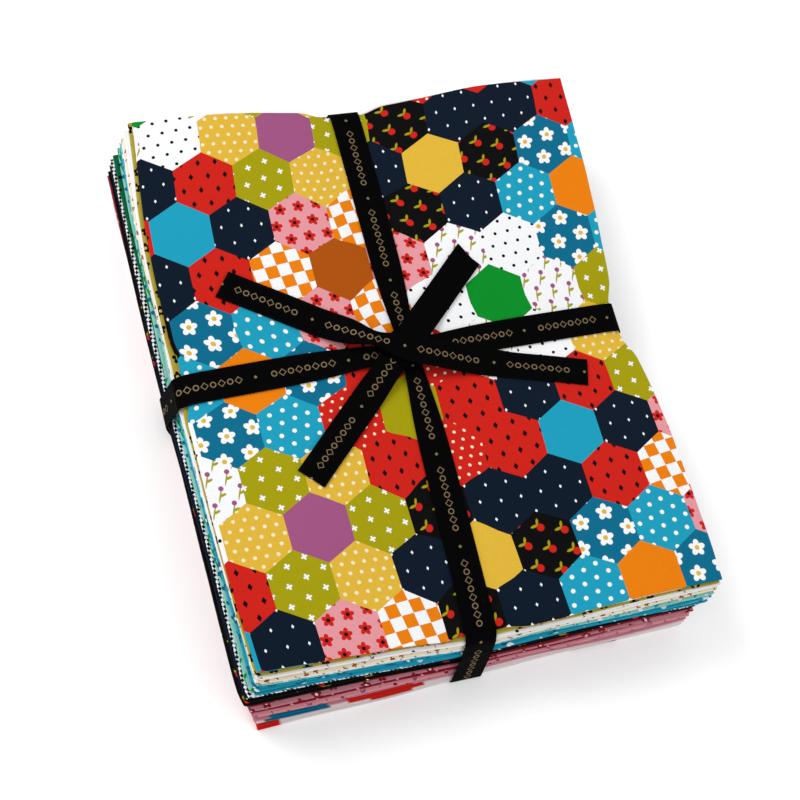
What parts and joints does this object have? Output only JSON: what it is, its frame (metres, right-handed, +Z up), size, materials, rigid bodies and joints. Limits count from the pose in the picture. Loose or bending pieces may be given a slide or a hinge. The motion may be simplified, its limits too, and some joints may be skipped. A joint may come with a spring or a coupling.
{
  "type": "fat quarter bundle",
  "caption": "Stack of quilting cottons, each folded in half twice, tied lengthwise and crosswise with black ribbon knotted on top, its free ends lying on a hexagon patchwork print.",
  "frame": {"origin": "under the middle of the bounding box, on the surface that the bundle rests on", "axes": "+X across the bundle towards the cut edges, +Y along it from the folded front to the back, +Z up"},
  "size_m": [0.2422, 0.2956, 0.0509],
  "materials": {
    "cotton_patchwork": "matte",
    "cotton_butter": "matte",
    "cotton_cloud": "matte",
    "cotton_blush": "matte",
    "cotton_rose": "matte",
    "cotton_cream": "matte",
    "cotton_mint": "matte",
    "cotton_teal": "matte",
    "cotton_turquoise": "matte",
    "cotton_lagoon": "matte",
    "cotton_leaf": "matte",
    "cotton_dash": "matte",
    "cotton_chalk": "matte",
    "cotton_midnight": "matte",
    "cotton_black": "matte",
    "cotton_coal": "matte",
    "cotton_crimson": "matte",
    "cotton_dusk": "matte",
    "cotton_scarlet": "matte",
    "cotton_mauve": "matte",
    "cotton_petal": "matte",
    "cotton_ocean": "matte",
    "cotton_river": "matte",
    "cotton_pearl": "matte",
    "cotton_fog": "matte",
    "cotton_cherry": "matte",
    "ribbon_lengthwise": "satin",
    "ribbon_crosswise": "satin",
    "ribbon_knot": "satin",
    "ribbon_ends_under": "satin",
    "ribbon_ends_over": "satin"
  },
  "bodies": {
    "root": {"fat_quarter_01": "cotton_patchwork", "fat_quarter_02": "cotton_butter", "fat_quarter_03": "cotton_cloud", "fat_quarter_04": "cotton_blush", "fat_quarter_05": "cotton_rose", "fat_quarter_06": "cotton_cream", "fat_quarter_07": "cotton_mint", "fat_quarter_08": "cotton_teal", "fat_quarter_09": "cotton_turquoise", "fat_quarter_10": "cotton_lagoon", "fat_quarter_11": "cotton_leaf", "fat_quarter_12": "cotton_dash", "fat_quarter_13": "cotton_chalk", "fat_quarter_14": "cotton_midnight", "fat_quarter_15": "cotton_black", "fat_quarter_16": "cotton_coal", "fat_quarter_17": "cotton_crimson", "fat_quarter_18": "cotton_dusk", "fat_quarter_19": "cotton_scarlet", "fat_quarter_20": "cotton_mauve", "fat_quarter_21": "cotton_petal", "fat_quarter_22": "cotton_ocean", "fat_quarter_23": "cotton_river", "fat_quarter_24": "cotton_pearl", "fat_quarter_25": "cotton_fog", "fat_quarter_26": "cotton_cherry", "tie_lengthwise": "ribbon_lengthwise", "tie_crosswise": "ribbon_crosswise", "tie_knot": "ribbon_knot", "tie_ends_under": "ribbon_ends_under", "tie_ends_over": "ribbon_ends_over"}
  },
  "joints": []
}
